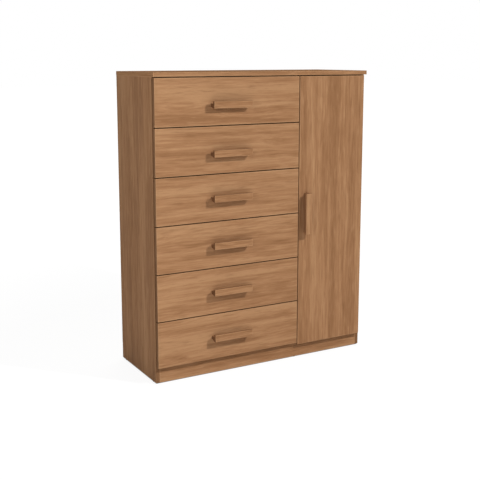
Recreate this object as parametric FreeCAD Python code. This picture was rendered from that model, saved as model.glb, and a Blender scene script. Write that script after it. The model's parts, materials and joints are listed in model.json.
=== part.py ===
import FreeCAD, Part
import math
import os

Vector = FreeCAD.Vector

# Chest of drawers with a cupboard beside the drawers. Sizes are in millimetres.
# X runs across the front, Y from the front to the back and Z up. The origin is on the floor,
# below the middle of the box that holds the whole chest with its handles.

# Overall sizes
width = 900.0
height = 1110.0
carcass_depth = 322.0  # front edges of the sides to the back of the back panel
drawer_bay = 569.0  # clear width between the left side and the partition
drawer_count = 6

# Boards
board = 15.0  # sides, partition, bottom and plinth
top_board = 15.0
front_board = 15.0  # drawer fronts and door
shelf_board = 15.0
back_board = 3.0
drawer_board = 12.0  # drawer sides and backs
drawer_bottom_board = 3.0
edge_radius = 0.8

# Base
plinth_height = 60.0
rear_plinth_setback = 16.0
glide_height = 3.0
glide_radius = 6.5
glide_end = 30.0  # end of a side to the middle of its glide

# Fronts
front_gap = 3.0  # between the fronts and the front edges of the carcass
top_gap = 3.5
drawer_gap = 3.5
drawer_inset = 3.0  # left edge of the drawer fronts to the left face of the chest
door_inset = 12.0  # right edge of the door to the right face of the chest
bottom_lap = 16.0  # the lowest front hangs this far below the upper face of the bottom panel
door_drop = 7.0  # the door hangs this far below the lowest drawer front

# Bar handles
handle_length = 156.0
handle_face = 25.0
handle_projection = 28.0
handle_slab = 10.0
handle_notch = 8.5  # finger notch, from the edge of the slab to the neck
handle_root = 10.5  # neck where it meets the front
upper_handle_drop = 11.0  # handles of the upper drawers sit this far below the middle of the front
dropped_handles = 2  # how many drawers from the top have it
door_handle_inset = 28.5  # left edge of the door to the middle of its handle
handle_edge = 1.0

# Handle screws
screw_spacing = 128.0
screw_radius = 2.0
screw_head_radius = 4.0
screw_head_height = 2.5
screw_grip = 14.0  # length in the handle
screw_clearance = 0.2

# Drawer boxes
box_rise = 26.0  # lower edge of the front to the lower edge of the box
box_headroom = 23.0  # upper edge of the box to the upper edge of the front
box_rear_gap = 22.0  # rear end of the box to the back panel
groove_depth = 5.0
groove_rise = 10.0  # lower edge of the box to the groove
groove_clearance = 0.2

# Runners
runner_space = 12.5  # side clearance that holds one runner
runner_height = 35.0
runner_sheet = 1.2
runner_flange = 9.0
runner_setback = 2.0  # front edge of the carcass to the front end of a channel
runner_rear_gap = 17.0  # rear end of a channel to the back panel
rail_clearance = 0.3
rail_back_gap = 1.5  # rail to the web of the channel
rail_head = 6.0
rail_stem_height = 10.0
rail_plate = 1.5
rail_plate_height = 24.0

# Cupboard shelves
shelf_count = 2
shelf_setback = 20.0
shelf_clearance = 1.0
pin_radius = 2.5
pin_depth = 8.0
pin_reach = 8.0
pin_block_height = 10.0
pin_end = 45.0  # end of a shelf to the middle of its pin
pin_clearance = 0.05

# Cam fittings
cam_radius = 7.5
cam_depth = 12.0
cam_setback = 34.0  # middle of a cam to the edge that it pulls
cam_end = 50.0  # front or rear edge of a board to the middle of a cam
cam_clearance = 0.1
cam_bolt_radius = 3.0
cam_bolt_thread_radius = 2.5
cam_bolt_thread = 10.0
cam_bolt_inset = 2.0  # end of the bolt to the middle of the cam

# Door hinges
hinge_count = 3
hinge_end = 100.0  # end of the door to the middle of the hinge
cup_radius = 17.5
cup_depth = 12.0
cup_wall = 1.0
cup_edge = 3.0  # edge of the door to the rim of the cup
cup_lip = 1.0
flange_thickness = 1.2
flange_height = 58.0
flange_width = 20.0
flange_step = 2.0  # edge of the flange to the middle of the cup
pivot_wall = 3.4  # pivot to the inner wall of the cup
pivot_depth = 8.0  # rear face of the door to the pivot
hinge_pin_radius = 1.2
hinge_eye_radius = 2.4
hinge_eye_width = 8.0
hinge_running_clearance = 0.05
neck_thickness = 2.6
leg_offset = 12.0  # pivot to the near face of the leg
leg_thickness = 3.5
arm_height = 14.0
arm_start = 8.0  # front edge of the side to the arm
arm_length = 54.0
plate_thickness = 5.0
plate_height = 48.0
plate_length = 34.0
plate_setback = 37.0  # front edge of the side to the middle of the plate

# Depths worked out from the sizes above
total_depth = handle_projection + front_board + front_gap + carcass_depth
back_face = total_depth / 2
carcass_front = back_face - carcass_depth
carcass_rear = back_face - back_board
front_rear = carcass_front - front_gap
front_face = front_rear - front_board

# Widths
left_outer = -width / 2
right_outer = width / 2
left_inner = left_outer + board
right_inner = right_outer - board
partition_left = left_inner + drawer_bay
partition_right = partition_left + board
partition_middle = (partition_left + partition_right) / 2
drawer_front_left = left_outer + drawer_inset
drawer_front_right = partition_middle - drawer_gap / 2
door_left = partition_middle + drawer_gap / 2
door_right = right_outer - door_inset

# Heights
bottom_under = glide_height + plinth_height
bottom_upper = bottom_under + board
top_under = height - top_board
fronts_top = top_under - top_gap
fronts_bottom = bottom_upper - bottom_lap
door_bottom = fronts_bottom - door_drop
front_height = (fronts_top - fronts_bottom - (drawer_count - 1) * drawer_gap) / drawer_count

# Drawer boxes and runners
box_left = left_inner + runner_space
box_right = partition_left - runner_space
box_inner_left = box_left + drawer_board
box_inner_right = box_right - drawer_board
box_height = front_height - box_rise - box_headroom
box_rear = carcass_rear - box_rear_gap
runner_front = carcass_front + runner_setback
runner_rear = carcass_rear - runner_rear_gap

# Hinge places
cup_middle = door_right - cup_edge - cup_radius
pivot_x = cup_middle + cup_radius - cup_wall - pivot_wall
pivot_y = front_rear - pivot_depth
plate_face = right_inner - plate_thickness
leg_near = pivot_x - leg_offset
leg_far = leg_near - leg_thickness


def block(x_range, y_range, z_range):
    low = Vector(x_range[0], y_range[0], z_range[0])
    size = [high - start for start, high in (x_range, y_range, z_range)]
    return Part.makeBox(size[0], size[1], size[2], low)


def rod(radius, start, end):
    start, end = Vector(start), Vector(end)
    way = end.sub(start)
    return Part.makeCylinder(radius, way.Length, start, way)


def eased_block(x_range, y_range, z_range):
    solid = block(x_range, y_range, z_range)
    return solid.makeFillet(edge_radius, solid.Edges)


def without(solid, cutters):
    return solid.cut(Part.makeCompound(cutters)) if cutters else solid


def save(node, solids):
    for solid in solids:
        if not solid.isValid():
            raise ValueError(node + " has a solid that is not valid")
    shape = solids[0] if len(solids) == 1 else Part.makeCompound(solids)
    shape.exportStep("parts/" + node + ".step")


def spread(low, high, count):
    return [low + (high - low) * step / (count - 1) for step in range(count)]


def one_solid(shape):
    return shape.removeSplitter().Solids[0]


def bar_handle(middle, along, up):
    # The bar stands out of the front towards -Y. Its section is drawn from the front outwards.
    out = Vector(0, -1, 0)
    rear = handle_projection - handle_slab
    upper = handle_face / 2
    lower = -upper
    notch = upper - handle_notch
    section = [
        (0, notch),
        (rear, notch),
        (rear, upper),
        (handle_projection, upper),
        (handle_projection, lower),
        (rear, lower),
        (0, notch - handle_root),
    ]
    start = middle - along * (handle_length / 2)
    points = [start + out * reach + up * rise for reach, rise in section]
    bar = Part.Face(Part.makePolygon(points + points[:1])).extrude(along * handle_length)
    outer_face = middle.y - handle_projection
    edges = [edge for edge in bar.Edges if abs(edge.BoundBox.YMin - outer_face) < handle_edge]
    outline = [edge for edge in edges if edge.BoundBox.YLength < handle_edge]
    return bar.makeFillet(handle_edge, outline)


def screw_places(middle, along, up):
    axis = middle + up * (handle_face / 2 - handle_notch - handle_root / 2)
    return [axis - along * (screw_spacing / 2), axis + along * (screw_spacing / 2)]


def screw_holes(places):
    tip = Vector(0, screw_grip + screw_clearance, 0)
    back = Vector(0, front_board, 0)
    return [rod(screw_radius + screw_clearance, place - tip, place + back) for place in places]


def handle_screws(places):
    screws = []
    for place in places:
        seat = place + Vector(0, front_board, 0)
        shank = rod(screw_radius, place - Vector(0, screw_grip, 0), seat)
        head = rod(screw_head_radius, seat, seat + Vector(0, screw_head_height, 0))
        screws.append(one_solid(shank.fuse(head)))
    return screws


def cam_fitting(face_point, inwards, towards_edge):
    # A cam lies in a pocket in the face of one board. Its bolt runs in the middle of that board,
    # out of the edge and into the next board.
    axis = face_point + inwards * (board / 2)
    edge = axis + towards_edge * cam_setback
    bolt_end = axis + towards_edge * cam_bolt_inset
    tip = edge + towards_edge * cam_bolt_thread
    pocket = rod(cam_radius + cam_clearance, face_point, face_point + inwards * (cam_depth + cam_clearance))
    bolt_hole = rod(cam_bolt_radius + cam_clearance, axis, edge)
    thread_hole = rod(cam_bolt_thread_radius + cam_clearance, edge, tip + towards_edge * cam_clearance)
    disc = rod(cam_radius, face_point, face_point + inwards * cam_depth)
    cam = one_solid(disc.cut(bolt_hole))
    bolt = one_solid(rod(cam_bolt_radius, bolt_end, edge).fuse(rod(cam_bolt_thread_radius, edge, tip)))
    return {"solids": [cam, bolt], "board": [pocket, bolt_hole], "next": [thread_hole]}


def cam_row(x, z, inwards, towards_edge):
    places = (carcass_front + cam_end, carcass_rear - cam_end)
    return [cam_fitting(Vector(x, y, z), inwards, towards_edge) for y in places]


def cuts(fittings, part):
    return [cutter for fitting in fittings for cutter in fitting[part]]


os.makedirs("parts", exist_ok=True)

# Cam fittings: sides and partition under the top, partition on the bottom, bottom between the sides
right, left = Vector(1, 0, 0), Vector(-1, 0, 0)
upwards, downwards = Vector(0, 0, 1), Vector(0, 0, -1)
left_top_cams = cam_row(left_inner, top_under - cam_setback, left, upwards)
right_top_cams = cam_row(right_inner, top_under - cam_setback, right, upwards)
partition_top_cams = cam_row(partition_right, top_under - cam_setback, left, upwards)
partition_foot_cams = cam_row(partition_right, bottom_upper + cam_setback, left, downwards)
bottom_left_cams = cam_row(left_inner + cam_setback, bottom_under, upwards, left)
bottom_right_cams = cam_row(right_inner - cam_setback, bottom_under, upwards, right)
top_cams = left_top_cams + right_top_cams + partition_top_cams
bottom_cams = bottom_left_cams + bottom_right_cams
save("cam_fittings", cuts(top_cams + partition_foot_cams + bottom_cams, "solids"))

# Shelves of the cupboard, each on four pins
cupboard_height = top_under - bottom_upper
shelf_space = (cupboard_height - shelf_count * shelf_board) / (shelf_count + 1)
shelf_heights = [
    bottom_upper + shelf_space * (step + 1) + shelf_board * step for step in range(shelf_count)
]
shelf_front = carcass_front + shelf_setback
shelf_rear = carcass_rear - shelf_clearance
shelf_sides = (partition_right + shelf_clearance, right_inner - shelf_clearance)
save(
    "cupboard_shelves",
    [eased_block(shelf_sides, (shelf_front, shelf_rear), (z, z + shelf_board)) for z in shelf_heights],
)


def shelf_pin(x, y, shelf_under, into_board):
    axis = Vector(x, y, shelf_under - pin_block_height / 2)
    far = axis - into_board * pin_reach
    shank = rod(pin_radius, axis, axis + into_board * pin_depth)
    block_x = (min(axis.x, far.x), max(axis.x, far.x))
    block_y = (y - pin_reach / 2, y + pin_reach / 2)
    support = block(block_x, block_y, (shelf_under - pin_block_height, shelf_under))
    hole_end = axis + into_board * (pin_depth + pin_clearance)
    return one_solid(support.fuse(shank)), rod(pin_radius + pin_clearance, axis, hole_end)


pin_rows = [(y, z) for z in shelf_heights for y in (shelf_front + pin_end, shelf_rear - pin_end)]
partition_pins = [shelf_pin(partition_right, y, z, left) for y, z in pin_rows]
side_pins = [shelf_pin(right_inner, y, z, right) for y, z in pin_rows]
save("shelf_pins", [pin for pin, hole in partition_pins + side_pins])

# Boards of the carcass
depth_range = (carcass_front, carcass_rear)
top = eased_block((left_outer, right_outer), (front_face, back_face), (top_under, height))
save("top_panel", [without(top, cuts(top_cams, "next"))])
left_side = eased_block((left_outer, left_inner), depth_range, (glide_height, top_under))
left_cuts = cuts(left_top_cams, "board") + cuts(bottom_left_cams, "next")
save("left_side_panel", [without(left_side, left_cuts)])
right_side = eased_block((right_inner, right_outer), depth_range, (glide_height, top_under))
right_cuts = cuts(right_top_cams, "board") + cuts(bottom_right_cams, "next")
save("right_side_panel", [without(right_side, right_cuts + [hole for pin, hole in side_pins])])
partition = block((partition_left, partition_right), depth_range, (bottom_upper, top_under))
partition_cuts = cuts(partition_top_cams + partition_foot_cams, "board")
save("centre_partition", [without(partition, partition_cuts + [hole for pin, hole in partition_pins])])
bottom = block((left_inner, right_inner), depth_range, (bottom_under, bottom_upper))
save("bottom_panel", [without(bottom, cuts(bottom_cams, "board") + cuts(partition_foot_cams, "next"))])
rear_plinth_back = carcass_rear - rear_plinth_setback
plinth_middles = [carcass_front + board / 2, rear_plinth_back - board / 2]
save(
    "plinth_boards",
    [
        block((left_inner, right_inner), (y - board / 2, y + board / 2), (glide_height, bottom_under))
        for y in plinth_middles
    ],
)
# The back panel stays inside the eased rear edges of the sides
back_range = (left_outer + edge_radius, right_outer - edge_radius)
save("back_panel", [block(back_range, (carcass_rear, back_face), (bottom_under, top_under))])

# Floor glides under the sides and under the plinth boards below the partition
side_middles = (left_outer + board / 2, right_outer - board / 2)
glide_places = [(x, y) for x in side_middles for y in (carcass_front + glide_end, carcass_rear - glide_end)]
glide_places += [(partition_middle, y) for y in plinth_middles]
save("floor_glides", [rod(glide_radius, (x, y, 0), (x, y, glide_height)) for x, y in glide_places])


def runner_channel(face, inwards, middle):
    # A channel on the face of a board, open towards the drawer
    length = (runner_front, runner_rear)
    half = runner_height / 2
    web = sorted((face, face + inwards * runner_sheet))
    flange = sorted((face, face + inwards * runner_flange))
    solid = block(web, length, (middle - half, middle + half))
    solid = solid.fuse(block(flange, length, (middle + half - runner_sheet, middle + half)))
    return one_solid(solid.fuse(block(flange, length, (middle - half, middle - half + runner_sheet))))


def runner_rail(face, inwards, middle):
    # The rail on the drawer side reaches into the channel, whose board has this face
    length = (front_rear, box_rear)
    start = runner_sheet + rail_back_gap
    head = sorted((face + inwards * start, face + inwards * (start + rail_head)))
    stem = sorted((face + inwards * start, face + inwards * runner_space))
    plate = sorted((face + inwards * (runner_space - rail_plate), face + inwards * runner_space))
    head_half = runner_height / 2 - runner_sheet - rail_clearance
    solid = block(head, length, (middle - head_half, middle + head_half))
    solid = solid.fuse(block(stem, length, (middle - rail_stem_height / 2, middle + rail_stem_height / 2)))
    plate_range = (middle - rail_plate_height / 2, middle + rail_plate_height / 2)
    return one_solid(solid.fuse(block(plate, length, plate_range)))


# Drawers, counted from the top
channels = []
for number in range(1, drawer_count + 1):
    name = "drawer_" + str(number)
    upper = fronts_top - (number - 1) * (front_height + drawer_gap)
    lower = upper - front_height
    box_low = lower + box_rise
    box_high = box_low + box_height
    bottom_low = box_low + groove_rise
    bottom_high = bottom_low + drawer_bottom_board
    drop = upper_handle_drop if number <= dropped_handles else 0.0
    handle_x = (drawer_front_left + drawer_front_right) / 2
    handle_middle = Vector(handle_x, front_face, (upper + lower) / 2 - drop)
    places = screw_places(handle_middle, right, upwards)
    holes = screw_holes(places)

    groove_x = (box_inner_left - groove_depth, box_inner_right + groove_depth)
    groove_y = (front_rear - groove_depth, box_rear)
    groove_z = (bottom_low - groove_clearance, bottom_high + groove_clearance)
    groove = block(groove_x, groove_y, groove_z)

    front = eased_block((drawer_front_left, drawer_front_right), (front_face, front_rear), (lower, upper))
    save(name + "_front", [without(front, holes + [groove])])
    save(name + "_handle", [without(bar_handle(handle_middle, right, upwards), holes)])
    save(name + "_handle_screws", handle_screws(places))

    side_y = (front_rear, box_rear)
    left_board = block((box_left, box_inner_left), side_y, (box_low, box_high))
    right_board = block((box_inner_right, box_right), side_y, (box_low, box_high))
    save(name + "_sides", [without(left_board, [groove]), without(right_board, [groove])])
    back_y = (box_rear - drawer_board, box_rear)
    save(name + "_back", [block((box_inner_left, box_inner_right), back_y, (bottom_high, box_high))])
    sheet_x = (groove_x[0] + groove_clearance, groove_x[1] - groove_clearance)
    sheet_y = (groove_y[0] + groove_clearance, box_rear)
    save(name + "_bottom", [block(sheet_x, sheet_y, (bottom_low, bottom_high))])

    runner_middle = (box_low + box_high) / 2
    rails = [runner_rail(left_inner, 1, runner_middle), runner_rail(partition_left, -1, runner_middle)]
    save(name + "_runners", rails)
    channels.append(runner_channel(left_inner, 1, runner_middle))
    channels.append(runner_channel(partition_left, -1, runner_middle))
save("cabinet_runners", channels)


def cup_bore(z):
    depth = cup_depth + hinge_running_clearance
    middle = Vector(cup_middle, front_rear, z)
    return rod(cup_radius + hinge_running_clearance, middle, middle - Vector(0, depth, 0))


def hinge_cup(z):
    # Cup in the rear of the door with its flange, and the pin across the cup
    mouth = Vector(cup_middle, front_rear, z)
    rear = Vector(0, flange_thickness, 0)
    cup = rod(cup_radius, mouth - Vector(0, cup_depth, 0), mouth)
    lip = rod(cup_radius + cup_lip, mouth, mouth + rear)
    flange_x = (cup_middle + flange_step - flange_width, cup_middle + flange_step)
    flange_z = (z - flange_height / 2, z + flange_height / 2)
    flange = block(flange_x, (front_rear, front_rear + flange_thickness), flange_z)
    hollow_radius = cup_radius - cup_wall
    hollow = rod(hollow_radius, mouth - Vector(0, cup_depth - cup_wall, 0), mouth + rear)
    # The pin ends inside the wall of the cup, on a chord beside its middle
    pin_half = math.sqrt(hollow_radius**2 - (pivot_x - cup_middle) ** 2) + cup_wall / 2
    pin = rod(hinge_pin_radius, (pivot_x, pivot_y, z - pin_half), (pivot_x, pivot_y, z + pin_half))
    pin = pin.common(rod(cup_radius, mouth - Vector(0, cup_depth, 0), mouth))
    return one_solid(cup.fuse([lip, flange]).cut(hollow).fuse(pin))


def hinge_arm(z):
    # Eye on the pin, neck into the cup, leg out of the cup and arm on the plate
    eye_z = (z - hinge_eye_width / 2, z + hinge_eye_width / 2)
    eye = rod(hinge_eye_radius, (pivot_x, pivot_y, eye_z[0]), (pivot_x, pivot_y, eye_z[1]))
    neck_y = (pivot_y - neck_thickness / 2, pivot_y + neck_thickness / 2)
    neck = block((leg_far, pivot_x), neck_y, eye_z)
    arm_y = (carcass_front + arm_start, carcass_front + arm_start + arm_length)
    leg = block((leg_far, leg_near), (neck_y[0], arm_y[1]), eye_z)
    arm = block((leg_far, plate_face), arm_y, (z - arm_height / 2, z + arm_height / 2))
    arm = arm.makeFillet(edge_radius, arm.Edges)
    pin_hole = rod(
        hinge_pin_radius + hinge_running_clearance, (pivot_x, pivot_y, eye_z[0]), (pivot_x, pivot_y, eye_z[1])
    )
    return one_solid(eye.fuse([neck, leg, arm]).cut(pin_hole))


def hinge_plate(z):
    middle = carcass_front + plate_setback
    plate_y = (middle - plate_length / 2, middle + plate_length / 2)
    return block((plate_face, right_inner), plate_y, (z - plate_height / 2, z + plate_height / 2))


# Door with its hinges
hinge_heights = spread(door_bottom + hinge_end, fronts_top - hinge_end, hinge_count)
door_handle_middle = Vector(door_left + door_handle_inset, front_face, (door_bottom + fronts_top) / 2)
door_places = screw_places(door_handle_middle, upwards, left)
door_holes = screw_holes(door_places)
door = eased_block((door_left, door_right), (front_face, front_rear), (door_bottom, fronts_top))
save("door_panel", [without(door, door_holes + [cup_bore(z) for z in hinge_heights])])
save("door_handle", [without(bar_handle(door_handle_middle, upwards, left), door_holes)])
save("door_handle_screws", handle_screws(door_places))
save("hinge_cups", [hinge_cup(z) for z in hinge_heights])
save("hinge_arms", [hinge_arm(z) for z in hinge_heights])
save("hinge_plates", [hinge_plate(z) for z in hinge_heights])
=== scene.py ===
import bmesh
import bpy
import json
from math import radians, tau
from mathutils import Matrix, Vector

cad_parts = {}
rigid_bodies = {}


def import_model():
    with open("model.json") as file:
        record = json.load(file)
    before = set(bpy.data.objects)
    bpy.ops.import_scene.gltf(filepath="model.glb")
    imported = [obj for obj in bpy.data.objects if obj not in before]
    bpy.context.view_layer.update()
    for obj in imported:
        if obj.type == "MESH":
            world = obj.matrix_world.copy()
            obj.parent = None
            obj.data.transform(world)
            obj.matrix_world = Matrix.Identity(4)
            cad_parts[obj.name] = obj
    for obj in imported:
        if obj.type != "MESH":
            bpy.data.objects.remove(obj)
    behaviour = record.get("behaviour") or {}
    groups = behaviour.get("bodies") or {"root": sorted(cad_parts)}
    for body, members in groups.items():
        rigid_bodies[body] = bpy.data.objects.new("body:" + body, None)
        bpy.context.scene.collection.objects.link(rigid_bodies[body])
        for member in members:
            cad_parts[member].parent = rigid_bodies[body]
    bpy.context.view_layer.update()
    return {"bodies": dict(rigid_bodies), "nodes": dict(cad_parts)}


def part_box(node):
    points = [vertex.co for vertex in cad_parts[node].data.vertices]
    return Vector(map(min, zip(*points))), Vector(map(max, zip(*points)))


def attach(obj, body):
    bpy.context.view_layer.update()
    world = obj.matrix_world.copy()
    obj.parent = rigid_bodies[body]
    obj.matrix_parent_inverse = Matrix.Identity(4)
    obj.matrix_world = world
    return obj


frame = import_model()
nodes = frame["nodes"]
drawers = sorted(body for body in frame["bodies"] if body.startswith("drawer_"))
alongX, alongY, alongZ = 0, 1, 2
print("frame loaded:", len(nodes), "nodes,", len(drawers), "drawers and a door")


# Small helpers for node trees

def tint(red, green, blue):  # screen colour, 0 to 255, as the linear colour of a shader socket
    return [((value / 255 + 0.055) / 1.055) ** 2.4 for value in (red, green, blue)] + [1.0]


def feed(tree, socket, value):  # a socket takes a link or a fixed value
    if isinstance(value, bpy.types.NodeSocket):
        tree.links.new(value, socket)
    else:
        socket.default_value = value


def put(tree, kind, sockets=None, **settings):
    node = tree.nodes.new("ShaderNode" + kind)
    for name, value in settings.items():
        setattr(node, name, value)
    for name, value in (sockets or {}).items():
        feed(tree, node.inputs[name], value)
    return node


def calc(tree, how, *values):
    node = put(tree, "Math", operation=how)
    for socket, value in zip(node.inputs, values):
        feed(tree, socket, value)
    return node.outputs[0]


def vectorCalc(tree, how, *values):
    node = put(tree, "VectorMath", operation=how)
    for socket, value in zip(node.inputs, values):
        feed(tree, socket, value)
    return node.outputs["Value" if how in ("DOT_PRODUCT", "LENGTH") else "Vector"]


def share(tree, amount, first, second):  # this much of the second value and the rest of the first
    return calc(tree, "MULTIPLY_ADD", second, amount, calc(tree, "MULTIPLY", first, 1.0 - amount))


def mapped(tree, place, scale, location=(0.0, 0.0, 0.0)):
    return put(tree, "Mapping", {"Vector": place, "Location": location, "Scale": scale}).outputs[0]


def noise(tree, place, layer, output="Fac"):  # layer: size to the metre, detail and roughness
    scale, detail, rough = layer
    node = put(tree, "TexNoise", {"Vector": place, "Scale": scale, "Detail": detail, "Roughness": rough})
    return node.outputs[output]


def remap(tree, value, fromSpan, toSpan, ease="LINEAR"):
    fromLow, fromHigh = fromSpan
    toLow, toHigh = toSpan
    sockets = {"Value": value, "From Min": fromLow, "From Max": fromHigh, "To Min": toLow, "To Max": toHigh}
    return put(tree, "MapRange", sockets, interpolation_type=ease).outputs["Result"]


# Names repeat in a Mix node, so its sockets go by number: amount, first, second and result
mixSockets = {"RGBA": (0, 6, 7, 2), "VECTOR": (0, 4, 5, 1)}


def mix(tree, kind, amount, first, second):
    node = put(tree, "Mix", data_type=kind)
    *inputs, result = mixSockets[kind]
    for index, value in zip(inputs, (amount, first, second)):
        feed(tree, node.inputs[index], value)
    return node.outputs[result]


def ramp(tree, value, stops):
    node = put(tree, "ValToRGB", {"Fac": value})
    marks = node.color_ramp.elements
    while len(marks) < len(stops):
        marks.new(0.5)
    for mark, (position, colour) in zip(marks, stops):
        mark.position = position
        mark.color = colour
    return node.outputs["Color"]


def twoTone(tree, value, span, dark, light):
    return ramp(tree, value, list(zip(span, (dark, light))))


def bump(tree, height, look):
    sockets = {"Height": height, "Strength": look["relief"], "Distance": look["reliefDepth"]}
    return put(tree, "Bump", sockets).outputs["Normal"]


def startMaterial(name):
    material = bpy.data.materials.new(name)
    material.use_nodes = True
    material.node_tree.nodes.clear()
    return material, material.node_tree


def finishMaterial(tree, sockets):
    shader = put(tree, "BsdfPrincipled", sockets)
    put(tree, "OutputMaterial", {"Surface": shader.outputs["BSDF"]})


def dress(nodeName, material):
    nodes[nodeName].data.materials.clear()
    nodes[nodeName].data.materials.append(material)


noiseMiddle = 0.5
noiseSpan = (0.3, 0.7)  # most values of a noise lie between these
squareOn = 0.7  # cosine from which a face counts as looking along an axis


def axisVector(axis, onAxis, others):
    return [onAxis if index == axis else others for index in range(3)]


def facesAlong(tree, normal, axis):  # 1 on the faces that look along this axis, either way
    facing = vectorCalc(tree, "DOT_PRODUCT", normal, axisVector(axis, 1.0, 0.0))
    return calc(tree, "GREATER_THAN", calc(tree, "ABSOLUTE", facing), squareOn)


def roomInBox(tree, place, low, high):  # how far a place is inside a box, along each axis
    fromMiddle = vectorCalc(tree, "ABSOLUTE", vectorCalc(tree, "SUBTRACT", place, (low + high) / 2))
    room = vectorCalc(tree, "SUBTRACT", (high - low) / 2, fromMiddle)
    return put(tree, "SeparateXYZ", {"Vector": room}).outputs


def edgeWearAndHighlight(tree, place, nodeName, width):  # 1 on the edges of a board's box, 0 at this width from them
    low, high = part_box(nodeName)
    x, y, z = roomInBox(tree, place, low, high)
    smaller = calc(tree, "MINIMUM", x, y)
    larger = calc(tree, "MAXIMUM", x, y)
    toEdge = calc(tree, "MAXIMUM", smaller, calc(tree, "MINIMUM", larger, z))  # middle one of the three
    return remap(tree, toEdge, (0.0, width), (1.0, 0.0))


# Woodgrain laminate of the boards and handles, satin, with the grain along one axis

walnutLaminate = {
    "light": tint(181, 138, 100),
    "middle": tint(168, 124, 88),
    "dark": tint(152, 110, 76),
    "vein": tint(126, 87, 58),
    "fleck": tint(196, 152, 112),
    "shaded": tint(86, 58, 39),  # darker edges of the uprights, and painted shade on the fronts' gap faces and the handles' sides
    "shiftSteps": (0.37, 0.91, 1.73),  # how far one step of a board's shift moves the pattern
    "stretch": 0.05,  # how slowly the pattern changes along the grain
    "waves": (8.0, 1.0, 0.5),  # sizes of the pattern are to the metre across the grain
    "sway": 0.012,  # how far the waves push the lines aside
    "knots": 8.0,  # places to the metre, across the grain, where the lines curl
    "knotStretch": 0.22,
    "knotReach": 0.32,
    "knotBend": 0.014,  # how far a curl pushes the lines aside
    "clouds": (11.0, 2.0, 0.5),  # soft patches
    "bands": (40.0, 3.0, 0.55),
    "lines": (170.0, 3.0, 0.6),
    "fibres": (620.0, 2.0, 0.65),
    "toneShares": (0.36, 0.38, 0.26),  # of clouds, bands and lines
    "toneReach": 0.078,  # from the middle tone to the light and the dark one
    "lift": 0.0,  # moves the whole tone towards light or dark
    "flecks": (120.0, 2.0, 0.5),
    "fleckStretch": 2.4,  # how much shorter than the lines the flecks are
    "darkFlecks": (0.56, 0.74),  # from no fleck to a full one
    "paleFlecks": (0.44, 0.26),
    "fleckAmount": 0.34,
    "darkFibres": (0.52, 0.75),
    "veinAmount": 0.26,
    "edgeWidth": 0.003,
    "edgeAmount": 0.75,
    "edgeBands": ((0.3, 0.6), (0.5, 1.0)),  # the lighter edges, partly wear and partly a painted highlight, are weaker where the bands are dark
    "rough": (0.5, 0.64),
    "gloss": 0.03,
    "relief": 0.14,
    "reliefDepth": 0.0006,
    "fibreRelief": 0.4,  # share of the fibres in the relief, the rest is lines
}

topLaminate = dict(walnutLaminate, gloss=0.0)  # no glare along the far edge of the top
doorLaminate = dict(walnutLaminate, lift=-0.025)
barLaminate = dict(walnutLaminate, toneShares=(0.1, 0.45, 0.45), lift=-0.025)  # fine grain on narrow bars
doorBarLaminate = dict(barLaminate, lift=0.035)

drawerFoil = dict(
    walnutLaminate,
    light=tint(211, 183, 146),
    middle=tint(202, 173, 136),
    dark=tint(189, 158, 121),
    vein=tint(168, 136, 101),
    fleck=tint(220, 196, 163),
    relief=0.08,
)


def grainPlace(tree, look, place, normal, along, endAlong, shift):
    offset = [step * shift for step in look["shiftSteps"]]
    faceGrain = mapped(tree, place, axisVector(along, look["stretch"], 1.0), offset)
    endGrain = mapped(tree, place, axisVector(endAlong, look["stretch"], 1.0), offset)
    onEnds = facesAlong(tree, normal, along)  # the ends carry a band of their own
    grain = mix(tree, "VECTOR", onEnds, faceGrain, endGrain)
    wander = vectorCalc(tree, "SUBTRACT", noise(tree, grain, look["waves"], "Color"), (noiseMiddle,) * 3)
    grain = vectorCalc(tree, "MULTIPLY_ADD", wander, (look["sway"],) * 3, grain)
    knotPlace = mapped(tree, place, axisVector(along, look["knotStretch"], 1.0), offset)
    toKnot = put(tree, "TexVoronoi", {"Vector": knotPlace, "Scale": look["knots"]}).outputs["Distance"]
    bend = remap(tree, toKnot, (0.0, look["knotReach"]), (look["knotBend"], 0.0), "SMOOTHSTEP")
    return vectorCalc(tree, "MULTIPLY_ADD", bend, axisVector(along, 0.0, 1.0), grain)


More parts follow.
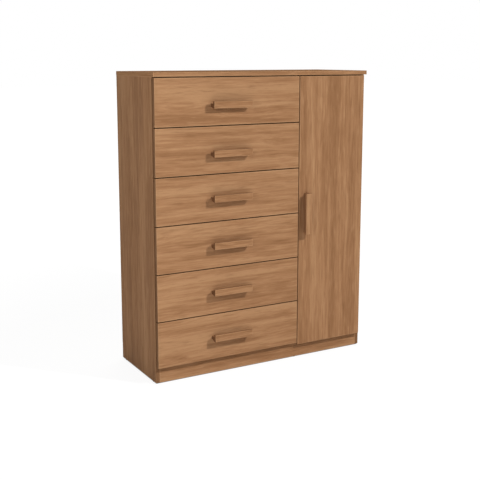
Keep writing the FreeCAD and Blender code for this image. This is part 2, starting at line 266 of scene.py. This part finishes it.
def woodgrain(name, nodeName, look, along, endAlong, shift, darkFaces):
    material, tree = startMaterial(name)
    coords = put(tree, "TexCoord").outputs
    place = coords["Object"]
    normal = coords["Normal"]
    grain = grainPlace(tree, look, place, normal, along, endAlong, shift)
    clouds = noise(tree, grain, look["clouds"])
    bands = noise(tree, grain, look["bands"])
    lines = noise(tree, grain, look["lines"])
    fibres = noise(tree, grain, look["fibres"])
    tone = look["lift"]
    for layer, part in zip((clouds, bands, lines), look["toneShares"]):
        tone = calc(tree, "MULTIPLY_ADD", layer, part, tone)
    low, high = noiseMiddle - look["toneReach"], noiseMiddle + look["toneReach"]
    stops = [(low, look["dark"]), (noiseMiddle, look["middle"]), (high, look["light"])]
    colour = ramp(tree, tone, stops)

    # Short flecks, dark and pale, over the bands, fine fibres over all, lighter edges that are partly wear
    # and partly a painted highlight, and darker faces that are mostly painted shade
    short = mapped(tree, grain, axisVector(along, look["fleckStretch"], 1.0))
    flecks = noise(tree, short, look["flecks"])
    for span, fleckColour in ((look["darkFlecks"], look["vein"]), (look["paleFlecks"], look["fleck"])):
        amount = remap(tree, flecks, span, (0.0, look["fleckAmount"]))
        colour = mix(tree, "RGBA", amount, colour, fleckColour)
    veins = remap(tree, fibres, look["darkFibres"], (0.0, look["veinAmount"]))
    colour = mix(tree, "RGBA", veins, colour, look["vein"])
    # Lighter edges: partly wear, partly a painted highlight along every edge of the box
    wornAndHighlight = calc(tree, "MULTIPLY", edgeWearAndHighlight(tree, place, nodeName, look["edgeWidth"]), look["edgeAmount"])
    wornAndHighlight = calc(tree, "MULTIPLY", wornAndHighlight, remap(tree, bands, *look["edgeBands"]))
    colour = mix(tree, "RGBA", wornAndHighlight, colour, look["fleck"])
    # Darker faces: painted shade in the gaps between the fronts and on the handles' ends, tops and
    # undersides; a plain darker edge on the uprights
    for axis, shade in darkFaces.items():
        darkShare = calc(tree, "MULTIPLY", facesAlong(tree, normal, axis), shade)
        colour = mix(tree, "RGBA", darkShare, colour, look["shaded"])

    height = share(tree, look["fibreRelief"], lines, fibres)
    finishMaterial(
        tree,
        {
            "Base Color": colour,
            "Roughness": remap(tree, bands, noiseSpan, look["rough"]),
            "Specular IOR Level": look["gloss"],
            "Normal": bump(tree, height, look),
        },
    )
    return material


# How much of the dark colour goes on the faces that look along an axis: painted shade on the fronts and
# handles, a plain darker edge on the uprights
carcassEdges = {alongY: 0.45}
# Painted shade: the gap-facing edges of the fronts and the door are darkened to stand for the shade in the
# gaps
frontEdges = {alongX: 0.5, alongZ: 0.7}
# Painted shade: the ends, tops and undersides of the drawer handles are darkened to stand for the shade in
# the notch and on the ends
drawerBarSides = {alongX: 0.65, alongZ: 0.42}
# Painted shade: the sides and ends of the door handle are darkened the same way
doorBarSides = {alongX: 0.4, alongZ: 0.3}
# Finish, direction of the grain and of the bands on the ends, place in the pattern, darker faces (painted
# shade on fronts and handles, a plain darker edge on the uprights)
boardGrain = {
    "top_panel": (topLaminate, alongX, alongY, 1.0, {}),
    "left_side_panel": (walnutLaminate, alongZ, alongY, 30.6, carcassEdges),
    "right_side_panel": (walnutLaminate, alongZ, alongY, 3.0, carcassEdges),
    "centre_partition": (walnutLaminate, alongZ, alongY, 4.0, carcassEdges),
    "bottom_panel": (walnutLaminate, alongX, alongY, 5.0, {}),
    "plinth_boards": (walnutLaminate, alongX, alongZ, 10.3, {}),
    "cupboard_shelves": (walnutLaminate, alongX, alongY, 7.0, {}),
    "door_panel": (doorLaminate, alongZ, alongX, 45.7, frontEdges),
    "door_handle": (doorBarLaminate, alongZ, alongX, 9.0, doorBarSides),
}
frontShifts = (50.3, 45.8, 42.6, 36.8, 40.1, 57.7)  # where the pattern is light and dark as in the photo
barStep = 1.0  # a bar doesn't go on with the grain of its front
foilStart = 22  # place of the first drawer's foil in the pattern
foilGrain = {"_sides": alongY, "_back": alongX}
for drawer, shift in zip(drawers, frontShifts):
    boardGrain[drawer + "_front"] = (walnutLaminate, alongX, alongZ, shift, frontEdges)
    boardGrain[drawer + "_handle"] = (barLaminate, alongX, alongZ, shift + barStep, drawerBarSides)
for nodeName, settings in boardGrain.items():
    dress(nodeName, woodgrain("laminate_" + nodeName, nodeName, *settings))
for shift, drawer in enumerate(drawers, foilStart):
    for board, along in foilGrain.items():
        nodeName = drawer + board
        dress(nodeName, woodgrain("foil_" + nodeName, nodeName, drawerFoil, along, alongZ, shift, {}))
print("laminate and foil on", len(boardGrain) + len(foilGrain) * len(drawers), "nodes")


# Hardboard of the back panel and the drawer bottoms: a smooth printed face and a raw screen-marked one

hardboard = {
    "face": tint(194, 166, 130),
    "faceDark": tint(180, 151, 115),
    "faceSpan": (0.35, 0.65),
    "raw": tint(160, 122, 88),
    "rawDark": tint(132, 97, 67),
    "rawSpan": (0.38, 0.62),
    "rawFacing": 0.5,  # cosine from which a face counts as the raw one
    "flecks": (420.0, 5.0, 0.75),
    "patches": (3.5, 3.0, 0.55),
    "patchShare": 0.22,  # how much of the raw face's tone comes from the patches, not the flecks
    "screen": 260.0,  # threads of the press screen to the metre, on the raw face
    "screenRelief": 0.2,
    "fleckRelief": 0.5,
    "rough": (0.5, 0.85),  # smooth face and raw face
    "gloss": 0.2,
    "relief": 0.35,
    "reliefDepth": 0.0006,
}


def hardboardSheet(name, rawSide, screenAxes):
    material, tree = startMaterial(name)
    coords = put(tree, "TexCoord").outputs
    place = coords["Object"]
    facing = vectorCalc(tree, "DOT_PRODUCT", coords["Normal"], rawSide)
    raw = calc(tree, "GREATER_THAN", facing, hardboard["rawFacing"])
    flecks = noise(tree, place, hardboard["flecks"])
    patches = noise(tree, place, hardboard["patches"])
    speckle = share(tree, hardboard["patchShare"], flecks, patches)
    faceColour = twoTone(tree, patches, hardboard["faceSpan"], hardboard["faceDark"], hardboard["face"])
    rawColour = twoTone(tree, speckle, hardboard["rawSpan"], hardboard["rawDark"], hardboard["raw"])
    axes = put(tree, "SeparateXYZ", {"Vector": place}).outputs
    turns = [calc(tree, "MULTIPLY", axes[axis], hardboard["screen"] * tau) for axis in screenAxes]
    weave = calc(tree, "ADD", *[calc(tree, "SINE", turn) for turn in turns])
    pressed = calc(tree, "MULTIPLY", weave, raw)
    height = calc(tree, "MULTIPLY", flecks, hardboard["fleckRelief"])
    height = calc(tree, "MULTIPLY_ADD", pressed, hardboard["screenRelief"], height)
    finishMaterial(
        tree,
        {
            "Base Color": mix(tree, "RGBA", raw, faceColour, rawColour),
            "Roughness": remap(tree, raw, (0.0, 1.0), hardboard["rough"]),
            "Specular IOR Level": hardboard["gloss"],
            "Normal": bump(tree, height, hardboard),
        },
    )
    return material


dress("back_panel", hardboardSheet("hardboard_back", (0.0, 1.0, 0.0), (alongX, alongZ)))
drawerBottom = hardboardSheet("hardboard_drawer_bottoms", (0.0, 0.0, -1.0), (alongX, alongY))
for drawer in drawers:
    dress(drawer + "_bottom", drawerBottom)
print("hardboard on the back and the drawer bottoms")


# Metal of runners and fittings, and the plastics

runnerZinc = {
    "light": tint(206, 208, 210),
    "dark": tint(172, 175, 178),
    "toneSpan": (0.35, 0.65),
    "along": alongY,
    "stretch": 0.03,  # how slowly the drawn lines change along the metal
    "lines": (900.0, 3.0, 0.6),
    "bloom": (60.0, 3.0, 0.6),  # cloudy plating
    "bloomShare": 0.5,  # how much of the tone comes from the bloom, not the lines
    "rough": (0.3, 0.46),
    "relief": 0.1,
    "reliefDepth": 0.0003,
}
fittingNickel = dict(
    runnerZinc,
    light=tint(214, 213, 210),
    dark=tint(176, 174, 170),
    along=alongZ,
    lines=(420.0, 3.0, 0.6),
    rough=(0.2, 0.36),
)


def platedMetal(name, look):
    material, tree = startMaterial(name)
    place = put(tree, "TexCoord").outputs["Object"]
    drawn = mapped(tree, place, axisVector(look["along"], look["stretch"], 1.0))
    lines = noise(tree, drawn, look["lines"])
    bloom = noise(tree, place, look["bloom"])
    tone = share(tree, look["bloomShare"], lines, bloom)
    finishMaterial(
        tree,
        {
            "Base Color": twoTone(tree, tone, look["toneSpan"], look["dark"], look["light"]),
            "Metallic": 1.0,
            "Roughness": remap(tree, tone, noiseSpan, look["rough"]),
            "Normal": bump(tree, lines, look),
        },
    )
    return material


pinPlastic = {
    "light": tint(226, 222, 212),
    "dark": tint(205, 200, 188),
    "toneSpan": (0.35, 0.65),
    "flow": (45.0, 2.0, 0.5),
    "grain": (900.0, 3.0, 0.6),
    "rough": (0.3, 0.45),
    "gloss": 0.45,
    "relief": 0.12,
    "reliefDepth": 0.0003,
}
glidePlastic = dict(
    pinPlastic,
    light=tint(74, 66, 60),
    dark=tint(52, 46, 42),
    grain=(1200.0, 3.0, 0.6),
    rough=(0.45, 0.65),
)
capPlastic = dict(
    pinPlastic,
    light=tint(158, 114, 78),
    dark=tint(142, 100, 66),
    grain=(1100.0, 3.0, 0.6),
    rough=(0.4, 0.55),
)


def mouldedPlastic(name, look):
    material, tree = startMaterial(name)
    place = put(tree, "TexCoord").outputs["Object"]
    grain = noise(tree, place, look["grain"])
    flow = noise(tree, place, look["flow"])
    finishMaterial(
        tree,
        {
            "Base Color": twoTone(tree, flow, look["toneSpan"], look["dark"], look["light"]),
            "Roughness": remap(tree, grain, noiseSpan, look["rough"]),
            "Specular IOR Level": look["gloss"],
            "Normal": bump(tree, grain, look),
        },
    )
    return material


zinc = platedMetal("zinc_runners", runnerZinc)
nickel = platedMetal("nickel_fittings", fittingNickel)
clearPlastic = mouldedPlastic("plastic_pins", pinPlastic)
darkPlastic = mouldedPlastic("plastic_glides", glidePlastic)
brownPlastic = mouldedPlastic("plastic_caps", capPlastic)
dress("cabinet_runners", zinc)
for fitting in ("cam_fittings", "hinge_plates", "hinge_arms", "hinge_cups", "door_handle_screws"):
    dress(fitting, nickel)
dress("shelf_pins", clearPlastic)
dress("floor_glides", darkPlastic)
for drawer in drawers:
    dress(drawer + "_runners", zinc)
    dress(drawer + "_handle_screws", nickel)
print("metal and plastic on the fittings")


# Helpers for small fittings: each kind is modelled once at the origin, pointing up, and copied to its places

towardsBack, towardsLeft, towardsRight = (0, 1, 0), (-1, 0, 0), (1, 0, 0)
smoothAngle = radians(35)
levelFrom = 0.9  # upward part of a face's normal from which it counts as level


def editUpperFace(piece):  # leaves the piece in edit mode with its highest level face selected
    bpy.ops.object.mode_set(mode="EDIT")
    bpy.ops.mesh.select_mode(type="FACE")
    bpy.ops.mesh.select_all(action="DESELECT")
    mesh = bmesh.from_edit_mesh(piece.data)
    upward = [face for face in mesh.faces if face.normal.z > levelFrom]
    max(upward, key=lambda face: face.calc_center_median().z).select_set(True)
    bmesh.update_edit_mesh(piece.data)


def finishEdit():
    bpy.ops.mesh.select_all(action="SELECT")
    bpy.ops.mesh.normals_make_consistent(inside=False)
    bpy.ops.object.mode_set(mode="OBJECT")


def roundedDisc(name, look):
    foot, rise = look["foot"], look["rise"]  # below and above the surface that it sits on
    bpy.ops.object.select_all(action="DESELECT")
    bpy.ops.mesh.primitive_cylinder_add(
        vertices=look["sides"],
        radius=look["radius"],
        depth=foot + rise,
        location=(0.0, 0.0, (rise - foot) / 2),
    )
    piece = bpy.context.object
    piece.name = name
    bpy.ops.object.transform_apply(location=True, rotation=True, scale=True)
    editUpperFace(piece)
    bpy.ops.mesh.bevel(offset=look["rim"], segments=look["rimSteps"], affect="EDGES")
    finishEdit()
    return piece


def shapeCrown(piece, insets, rise):  # insets the upper face once or more, then lifts or sinks it
    editUpperFace(piece)
    for inset in insets:
        bpy.ops.mesh.inset(thickness=inset)
    bpy.ops.transform.translate(value=(0.0, 0.0, rise))
    finishEdit()


def carve(piece, cutter):
    modifier = piece.modifiers.new("carve", "BOOLEAN")
    modifier.operation = "DIFFERENCE"
    modifier.solver = "EXACT"
    modifier.object = cutter
    bpy.ops.object.select_all(action="DESELECT")
    piece.select_set(True)
    bpy.context.view_layer.objects.active = piece
    bpy.ops.object.modifier_apply(modifier=modifier.name)
    bpy.data.objects.remove(cutter)


def placeCopies(name, master, spots, body, material):
    copies = []
    for spot, towards in spots:
        bpy.ops.object.select_all(action="DESELECT")
        master.select_set(True)
        bpy.context.view_layer.objects.active = master
        bpy.ops.object.duplicate()
        copy = bpy.context.object
        copy.location = spot
        copy.rotation_euler = Vector(towards).to_track_quat("Z", "Y").to_euler()
        copies.append(copy)
    bpy.ops.object.select_all(action="DESELECT")
    for copy in copies:
        copy.select_set(True)
    bpy.context.view_layer.objects.active = copies[0]
    bpy.ops.object.join()
    bpy.ops.object.transform_apply(location=True, rotation=True, scale=True)
    bpy.ops.object.shade_smooth_by_angle(angle=smoothAngle)
    piece = bpy.context.object
    piece.name = name
    piece.data.materials.clear()
    piece.data.materials.append(material)
    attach(piece, body)


def spaced(low, high, count):
    return [low + (high - low) * step / (count - 1) for step in range(count)]


# Cross-head screws of the hinges

crossScrew = {
    "sides": 28,
    "radius": 0.0036,
    "foot": 0.0003,
    "rise": 0.0011,
    "rim": 0.0005,
    "rimSteps": 3,
    "crossLength": 0.0044,
    "crossWidth": 0.0009,
    "crossDepth": 0.0008,
}
hingeScrews = {
    "hinges": 3,
    "plateHalf": 0.024,  # half the height of a mounting plate
    "plateReach": 0.0165,  # middle of a plate to its screws, up and down
    "flangeInset": 0.0105,  # left rim of the cups to the middle of their flanges
    "flangeReach": 0.024,  # middle of a cup to its screws, up and down
    "armInsets": (0.010, 0.036),  # rear end of an arm to its screws
}


def modelScrew(look):
    screw = roundedDisc("crossScrew", look)
    for turn in (0, 90):
        bpy.ops.object.select_all(action="DESELECT")
        bpy.ops.mesh.primitive_cube_add(
            size=1.0,
            location=(0.0, 0.0, look["rise"]),
            rotation=(0.0, 0.0, radians(turn)),
        )
        bar = bpy.context.object
        bar.scale = (look["crossLength"], look["crossWidth"], 2 * look["crossDepth"])
        carve(screw, bar)
    return screw


screw = modelScrew(crossScrew)
cupLow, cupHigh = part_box("hinge_cups")
plateLow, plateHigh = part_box("hinge_plates")
armLow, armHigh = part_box("hinge_arms")
lowest = plateLow.z + hingeScrews["plateHalf"]
highest = plateHigh.z - hingeScrews["plateHalf"]
flangeMiddle = cupLow.x + hingeScrews["flangeInset"]
plateMiddle = (plateLow.y + plateHigh.y) / 2
flangeSpots = []
plateSpots = []
armSpots = []
for z in spaced(lowest, highest, hingeScrews["hinges"]):
    for way in (-1, 1):
        flangeZ = z + way * hingeScrews["flangeReach"]
        plateZ = z + way * hingeScrews["plateReach"]
        flangeSpots.append(((flangeMiddle, cupHigh.y, flangeZ), towardsBack))
        plateSpots.append(((plateLow.x, plateMiddle, plateZ), towardsLeft))
    for inset in hingeScrews["armInsets"]:
        armSpots.append(((armLow.x, armHigh.y - inset, z), towardsLeft))
placeCopies("hingeFlangeScrews", screw, flangeSpots, "door", nickel)
placeCopies("hingePlateScrews", screw, plateSpots, "carcass", nickel)
placeCopies("hingeArmScrews", screw, armSpots, "carcass", nickel)
bpy.data.objects.remove(screw)
print("screws of the hinges:", len(flangeSpots) + len(plateSpots) + len(armSpots))


# Nails that hold the hardboard back on the carcass

backNail = {
    "sides": 18,
    "radius": 0.0023,
    "foot": 0.0003,
    "rise": 0.0006,
    "rim": 0.0003,
    "rimSteps": 2,
    "crownInset": 0.000805,
    "crownRise": 0.00009,
    "upright": 9,  # nails in a column
    "fromEdge": 0.035,  # upper or lower edge of the back to the last nail of a column
    "across": 7,  # nails in the row along the bottom panel
    "fromEnd": 0.07,  # end of the bottom panel to the last nail of the row
}

nail = roundedDisc("backNail", backNail)
shapeCrown(nail, [backNail["crownInset"]], backNail["crownRise"])
backLow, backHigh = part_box("back_panel")
heights = spaced(backLow.z + backNail["fromEdge"], backHigh.z - backNail["fromEdge"], backNail["upright"])
nailSpots = []
for upright in ("left_side_panel", "centre_partition", "right_side_panel"):
    low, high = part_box(upright)
    nailSpots += [(((low.x + high.x) / 2, backHigh.y, z), towardsBack) for z in heights]
low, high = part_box("bottom_panel")
places = spaced(low.x + backNail["fromEnd"], high.x - backNail["fromEnd"], backNail["across"])
nailSpots += [((x, backHigh.y, (low.z + high.z) / 2), towardsBack) for x in places]
placeCopies("backPanelNails", nail, nailSpots, "carcass", zinc)
bpy.data.objects.remove(nail)
print("nails in the back panel:", len(nailSpots))


# Covers over the cams that show inside the carcass

camCap = {
    "sides": 36,
    "radius": 0.0088,
    "foot": 0.0002,
    "rise": 0.0011,
    "rim": 0.0004,
    "rimSteps": 3,
    "lip": 0.0018,
    "dish": 0.0005,  # width and depth of the slope inside the lip
    "fromEnd": 0.034,  # end of the board to the middle of a cam
    "fromEdge": 0.05,  # front or rear edge of the board to the middle of a cam
}

cap = roundedDisc("camCap", camCap)
shapeCrown(cap, [camCap["lip"], camCap["dish"]], -camCap["dish"])
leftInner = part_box("left_side_panel")[1].x
middleLow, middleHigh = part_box("centre_partition")
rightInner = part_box("right_side_panel")[0].x
upperCams = middleHigh.z - camCap["fromEnd"]
lowerCams = middleLow.z + camCap["fromEnd"]
capSpots = []
for y in (middleLow.y + camCap["fromEdge"], middleHigh.y - camCap["fromEdge"]):
    capSpots.append(((leftInner, y, upperCams), towardsRight))
    capSpots.append(((middleHigh.x, y, upperCams), towardsRight))
    capSpots.append(((middleHigh.x, y, lowerCams), towardsRight))
    capSpots.append(((rightInner, y, upperCams), towardsLeft))
placeCopies("camCaps", cap, capSpots, "carcass", brownPlastic)
bpy.data.objects.remove(cap)
print("covers on the cams:", len(capSpots))


# Soft stops between the fronts and the edges of the carcass

stopPad = {
    "sides": 20,
    "radius": 0.0026,
    "foot": 0.0002,
    "rise": 0.0024,
    "rim": 0.0008,
    "rimSteps": 4,
    "crownInset": 0.00091,
    "crownRise": 0.0002,
    "fromOuter": 0.0075,  # left edge of a drawer front to the middle of its pad, over the edge of the side
    "fromInner": 0.0032,  # edge next to the partition
    "fromEnd": 0.02,  # upper or lower edge of a front
    "doorFromLow": 0.04,  # lower edge of the door
}

pad = roundedDisc("stopPad", stopPad)
shapeCrown(pad, [stopPad["crownInset"]], stopPad["crownRise"])
padCount = 0
for drawer in drawers:
    low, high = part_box(drawer + "_front")
    columns = (low.x + stopPad["fromOuter"], high.x - stopPad["fromInner"])
    levels = (low.z + stopPad["fromEnd"], high.z - stopPad["fromEnd"])
    padSpots = [((x, high.y, z), towardsBack) for x in columns for z in levels]
    placeCopies(drawer + "Stops", pad, padSpots, drawer, clearPlastic)
    padCount += len(padSpots)
low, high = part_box("door_panel")
levels = (low.z + stopPad["doorFromLow"], high.z - stopPad["fromEnd"])
padSpots = [((low.x + stopPad["fromInner"], high.y, z), towardsBack) for z in levels]
placeCopies("doorStops", pad, padSpots, "door", clearPlastic)
padCount += len(padSpots)
bpy.data.objects.remove(pad)
print("soft stops behind the fronts:", padCount)


# Floor and world, white for the camera

paleFloor = {
    "size": 60.0,
    "bounce": 0.8,  # how pale the floor is for the light that it throws back
    "shade": 0.12,  # how much of the shadow the camera sees
    "glow": (0.92, 1.0),  # near and far, brings the floor up to white for the camera
    "fade": (1.0, 3.2),  # between these distances from the middle
    "underFade": 0.006,  # the floor darkens within this distance under the edges of the chest
}
studioWorld = {
    "colour": (1.0, 1.0, 1.0, 1.0),
    "ambient": 0.12,  # strength as light on the chest
    "seen": 1.0,  # strength for the camera
}


def seenDirectly(tree):  # 1 for the camera and for what glossy or clear surfaces show
    path = put(tree, "LightPath").outputs
    mirrored = calc(tree, "MAXIMUM", path["Is Glossy Ray"], path["Is Transmission Ray"])
    return calc(tree, "MAXIMUM", path["Is Camera Ray"], mirrored)


def makeFloor():
    bpy.ops.object.select_all(action="DESELECT")
    bpy.ops.mesh.primitive_plane_add(size=paleFloor["size"], location=(0.0, 0.0, 0.0))
    floor = bpy.context.object
    floor.name = "studioFloor"
    material, tree = startMaterial("pale_floor")
    seen = seenDirectly(tree)
    grey = remap(tree, seen, (0.0, 1.0), (paleFloor["bounce"], paleFloor["shade"]))
    matt = put(tree, "BsdfDiffuse", {"Color": grey})
    place = put(tree, "TexCoord").outputs["Object"]
    white = remap(tree, vectorCalc(tree, "LENGTH", place), paleFloor["fade"], paleFloor["glow"])
    low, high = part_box("left_side_panel")[0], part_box("right_side_panel")[1]
    room = roomInBox(tree, place, low, high)
    depth = calc(tree, "MINIMUM", room["X"], room["Y"])
    white = calc(tree, "MULTIPLY", white, remap(tree, depth, (0.0, paleFloor["underFade"]), (1.0, 0.0)))
    glow = put(tree, "Emission", {"Strength": calc(tree, "MULTIPLY", seen, white)})
    both = put(tree, "AddShader", {0: matt.outputs[0], 1: glow.outputs[0]})
    put(tree, "OutputMaterial", {"Surface": both.outputs[0]})
    floor.data.materials.append(material)


def makeWorld():
    world = bpy.data.worlds.new("studioWorld")
    bpy.context.scene.world = world
    world.use_nodes = True
    tree = world.node_tree
    tree.nodes.clear()
    strength = remap(tree, seenDirectly(tree), (0.0, 1.0), (studioWorld["ambient"], studioWorld["seen"]))
    sky = put(tree, "Background", {"Color": studioWorld["colour"], "Strength": strength})
    put(tree, "OutputWorld", {"Surface": sky.outputs[0]})


makeFloor()
makeWorld()
print("floor and world")


# Lamps

keyLight = {
    "place": (1.14, -1.9, 2.08),
    "aim": (0.0, 0.0, 0.0),
    "strength": 23.7,
    "radius": 0.03,
}
sideFill = {
    "place": (-1.6, -1.2, 1.35),
    "aim": (-0.3, -0.15, 0.7),
    "strength": 11.9,
    "size": 1.2,
}
lowFill = {
    "place": (-0.5, -1.1, 0.12),
    "aim": (-0.3, -0.16, 0.12),
    "strength": 1.2,
    "size": 0.5,
}
rearSun = {
    "place": (2.2, 3.2, 1.4),
    "aim": (0.0, 0.0, 0.0),
    "strength": 2.6,
    "spread": 60.0,  # degrees
}


def makeLamp(name, kind, look):
    bpy.ops.object.select_all(action="DESELECT")
    bpy.ops.object.light_add(type=kind, location=look["place"])
    lamp = bpy.context.object
    lamp.name = name
    backwards = Vector(look["place"]) - Vector(look["aim"])
    lamp.rotation_euler = backwards.to_track_quat("Z", "Y").to_euler()
    lamp.visible_camera = False
    lamp.data.energy = look["strength"]
    return lamp


def makeLamps():
    key = makeLamp("keyLamp", "POINT", keyLight)
    key.data.shadow_soft_size = keyLight["radius"]
    key.data.use_nodes = True
    tree = key.data.node_tree
    steady = put(tree, "LightFalloff", {"Strength": 1.0})  # near enough to spread the shadows, but even
    tree.links.new(steady.outputs["Constant"], tree.nodes["Emission"].inputs["Strength"])
    fill = makeLamp("fillLamp", "AREA", sideFill)
    fill.data.size = sideFill["size"]
    low = makeLamp("lowLamp", "AREA", lowFill)
    low.data.size = lowFill["size"]
    rear = makeLamp("rearLamp", "SUN", rearSun)
    rear.data.angle = radians(rearSun["spread"])
    for lamp in (key, fill, low):
        lamp.visible_glossy = False  # no hard glint on the satin boards, no white patch on the runners


makeLamps()
print("lamps")


# Camera at the photograph's place

photoCamera = {
    "place": (-1.6282, -2.8476, 1.16),
    "turn": 29.366,  # degrees to the right of straight ahead
    "tilt": 80.465,  # degrees up from straight down
    "lens": 64.401,
    "sensor": 36.0,
    "shift": -0.08,
}
bpy.ops.object.camera_add(
    location=photoCamera["place"],
    rotation=(radians(photoCamera["tilt"]), 0.0, radians(-photoCamera["turn"])),
)
camera = bpy.context.object
camera.name = "photoCamera"
camera.data.lens = photoCamera["lens"]
camera.data.sensor_width = photoCamera["sensor"]
camera.data.shift_y = photoCamera["shift"]
bpy.context.scene.camera = camera
bpy.context.scene.view_settings.view_transform = "Standard"
